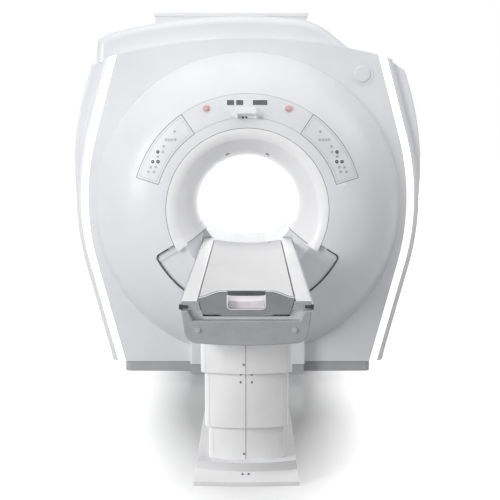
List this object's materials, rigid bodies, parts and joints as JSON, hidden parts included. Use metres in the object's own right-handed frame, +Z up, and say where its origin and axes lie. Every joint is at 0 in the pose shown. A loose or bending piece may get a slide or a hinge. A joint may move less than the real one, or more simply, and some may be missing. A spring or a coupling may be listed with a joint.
{
  "type": "mri scanner",
  "caption": "Whole-body magnetic resonance scanner: round domed front with a wide patient bore, lit side edges, and a height-adjustable table whose dished cradle slides into the bore.",
  "frame": {"origin": "on the floor under the isocentre, in the middle of the four anchor holes of the magnet's feet", "axes": "+X to the right of someone facing the front, +Y from the front into the bore, +Z up"},
  "size_m": [2.1, 3.766, 2.216],
  "materials": {
    "cover_white": "satin painted moulding",
    "panel_white": "satin",
    "light_diffuser": "translucent white",
    "seal_rubber": "matt",
    "key_plastic": "satin",
    "stop_red": "pale red, glossy",
    "display_dark": "smooth window",
    "lens_dark": "smooth",
    "plinth_dark": "matt",
    "vessel_steel": "painted",
    "coil_resin": "cast resin",
    "rf_former": "laminate",
    "liner_white": "satin",
    "cold_head_metal": "machined",
    "tub_white": "satin",
    "rail_white": "smooth",
    "rail_metal": "anodised",
    "plug_black": "matt",
    "frame_steel": "powder coated",
    "glide_plastic": "low friction",
    "cradle_white": "smooth",
    "lever_tint": "satin",
    "bumper_grey": "satin",
    "knob_white": "smooth",
    "pulley_metal": "machined",
    "belt_rubber": "toothed belt",
    "motor_dark": "painted",
    "screw_steel": "ground",
    "pedestal_white": "satin"
  },
  "bodies": {
    "gantry": {"front_dish": "cover_white", "front_panel": "cover_white", "front_corners": "cover_white", "front_flare": "cover_white", "dock_plate": "cover_white", "dock_column": "cover_white", "side_cover_right": "cover_white", "side_cover_left": "cover_white", "roof_cover": "cover_white", "turret_cover": "cover_white", "rear_cover": "cover_white", "rear_flare": "cover_white", "control_panel_right": "panel_white", "control_panel_left": "panel_white", "display_panel": "panel_white", "roundel": "panel_white", "laser_housing": "panel_white", "light_strips": "light_diffuser", "dock_gasket": "seal_rubber", "display_windows": "display_dark", "laser_lens": "lens_dark", "kick_plate": "plinth_dark", "magnet_vessel": "vessel_steel", "gradient_coil": "coil_resin", "rf_body_coil": "rf_former", "bore_liner": "liner_white", "cold_head": "cold_head_metal", "bore_bridge": "tub_white", "base_plate": "frame_steel", "lift_actuator": "frame_steel", "lower_cover": "pedestal_white", "base_fairing": "pedestal_white"},
    "table_lift": {"table_tub": "tub_white", "side_rails": "rail_white", "accessory_rails": "rail_metal", "rail_plugs": "plug_black", "table_frame": "frame_steel", "table_glides": "glide_plastic", "end_bumper": "bumper_grey", "bumper_knobs": "knob_white", "drive_belt": "belt_rubber", "drive_motor": "motor_dark", "upper_cover": "pedestal_white", "lift_carriage": "frame_steel"},
    "sleeve": {"middle_cover": "pedestal_white"},
    "patient_cradle": {"cradle": "cradle_white", "cradle_foot_plate": "cradle_white", "belt_clamp": "pulley_metal"},
    "lever": {"release_lever": "lever_tint"},
    "front_pulley": {"belt_pulley_front": "pulley_metal"},
    "back_pulley": {"belt_pulley_back": "pulley_metal"},
    "screw": {"lift_screw": "screw_steel"},
    "key_right_1": {"key_right_1": "key_plastic"},
    "key_right_2": {"key_right_2": "key_plastic"},
    "key_right_3": {"key_right_3": "key_plastic"},
    "key_left_1": {"key_left_1": "key_plastic"},
    "key_left_2": {"key_left_2": "key_plastic"},
    "key_left_3": {"key_left_3": "key_plastic"},
    "stop_button_right": {"stop_button_right": "stop_red"},
    "stop_button_left": {"stop_button_left": "stop_red"}
  },
  "joints": [
    {"name": "table_height", "type": "slide", "parent": "gantry", "child": "table_lift", "axis": [0, 0, 1], "range_m": [-0.22, 0]},
    {"name": "sleeve_height", "type": "slide", "parent": "gantry", "child": "sleeve", "axis": [0, 0, 1], "range_m": [-0.1105, 0.0005]},
    {"name": "cradle_travel", "type": "slide", "parent": "table_lift", "child": "patient_cradle", "axis": [0, 1, 0], "range_m": [0, 1.45]},
    {"name": "lever_squeeze", "type": "hinge", "parent": "patient_cradle", "child": "lever", "pos_m": [0, -2.863, 0.776], "axis": [1, 0, 0], "range_deg": [0, 15], "stiffness_Nm_per_rad": 1},
    {"name": "front_pulley_turn", "type": "hinge", "parent": "table_lift", "child": "front_pulley", "pos_m": [0, -2.78, 0.688], "axis": [1, 0, 0], "range_deg": [-3295, 3]},
    {"name": "back_pulley_turn", "type": "hinge", "parent": "table_lift", "child": "back_pulley", "pos_m": [0, -1.2, 0.688], "axis": [1, 0, 0], "range_deg": [-3295, 3]},
    {"name": "screw_turn", "type": "hinge", "parent": "gantry", "child": "screw", "pos_m": [0, -2.365, 0.2], "axis": [0, 0, 1], "range_deg": [-5, 7930]},
    {"name": "key_right_1_press", "type": "slide", "parent": "gantry", "child": "key_right_1", "axis": [-0.2384, 0.9588, -0.1548], "range_m": [0, 0.0015], "stiffness_N_per_m": 800},
    {"name": "key_right_2_press", "type": "slide", "parent": "gantry", "child": "key_right_2", "axis": [-0.1986, 0.9741, -0.1078], "range_m": [0, 0.0015], "stiffness_N_per_m": 800},
    {"name": "key_right_3_press", "type": "slide", "parent": "gantry", "child": "key_right_3", "axis": [-0.2486, 0.9602, -0.1272], "range_m": [0, 0.0015], "stiffness_N_per_m": 800},
    {"name": "key_left_1_press", "type": "slide", "parent": "gantry", "child": "key_left_1", "axis": [0.2384, 0.9588, -0.1548], "range_m": [0, 0.0015], "stiffness_N_per_m": 800},
    {"name": "key_left_2_press", "type": "slide", "parent": "gantry", "child": "key_left_2", "axis": [0.1986, 0.9741, -0.1078], "range_m": [0, 0.0015], "stiffness_N_per_m": 800},
    {"name": "key_left_3_press", "type": "slide", "parent": "gantry", "child": "key_left_3", "axis": [0.2486, 0.9602, -0.1272], "range_m": [0, 0.0015], "stiffness_N_per_m": 800},
    {"name": "stop_right_press", "type": "slide", "parent": "gantry", "child": "stop_button_right", "axis": [-0.1164, 0.9505, -0.2882], "range_m": [0, 0.005], "stiffness_N_per_m": 2000},
    {"name": "stop_left_press", "type": "slide", "parent": "gantry", "child": "stop_button_left", "axis": [0.1164, 0.9505, -0.2882], "range_m": [0, 0.005], "stiffness_N_per_m": 2000}
  ],
  "couplings": [
    {"joint": "sleeve_height", "follows": "table_height", "ratio": 0.5},
    {"joint": "front_pulley_turn", "follows": "cradle_travel", "rad_per_m": -39.604},
    {"joint": "back_pulley_turn", "follows": "cradle_travel", "rad_per_m": -39.604},
    {"joint": "screw_turn", "follows": "table_height", "rad_per_m": -628.32}
  ]
}
